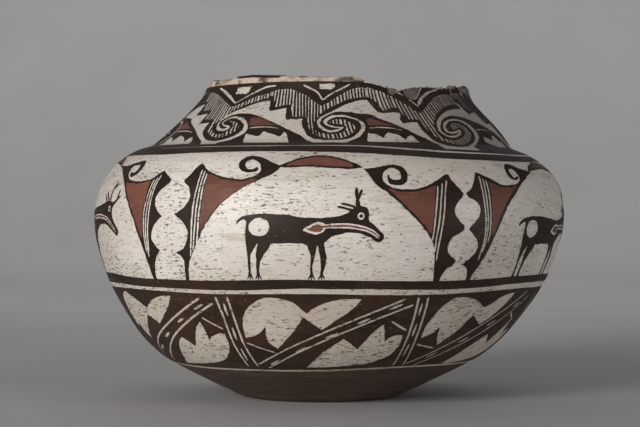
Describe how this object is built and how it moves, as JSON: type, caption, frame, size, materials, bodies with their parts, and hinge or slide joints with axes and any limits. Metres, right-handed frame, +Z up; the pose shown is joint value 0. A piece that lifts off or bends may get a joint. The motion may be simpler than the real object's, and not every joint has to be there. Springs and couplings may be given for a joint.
{
  "type": "water jar",
  "caption": "Hand-coiled pottery water jar with a wide belly and a sloping neck, slipped white and painted with arched deer panels, leaf diagonals and neck scrolls.",
  "frame": {"origin": "centre of the jar's outline on the surface it stands on", "axes": "+Z up through the mouth; -Y is the front, with the whole deer panel; +X is to the right of it, the side the jar leans to"},
  "size_m": [0.3414, 0.3416, 0.2257],
  "materials": {
    "clay": "matt low-fired clay, rough where it is broken",
    "brown_slip": "burnished brown slip, worn",
    "white_slip": "stone-polished warm white slip with fine pits",
    "dark_paint": "matt dark brown mineral paint, worn at its edges",
    "red_paint": "matt brick red clay paint"
  },
  "bodies": {
    "root": {"puki_base": "clay", "body_wall": "clay", "neck_wall": "clay", "underbody_slip": "brown_slip", "body_slip": "white_slip", "neck_slip": "white_slip", "mouth_slip": "brown_slip", "rim_paint": "dark_paint", "lower_band_paint": "dark_paint", "waist_line": "dark_paint", "shoulder_line": "dark_paint", "thin_line": "dark_paint", "rim_line": "dark_paint", "curtain_paint": "dark_paint", "curtain_red": "red_paint", "arch_crescents": "dark_paint", "arch_red": "red_paint", "deer_paint": "dark_paint", "heartlines": "red_paint", "neck_scrolls": "dark_paint", "neck_hatching": "dark_paint", "neck_wedges": "dark_paint", "neck_wedge_red": "red_paint", "rim_pendants": "dark_paint"}
  },
  "joints": []
}
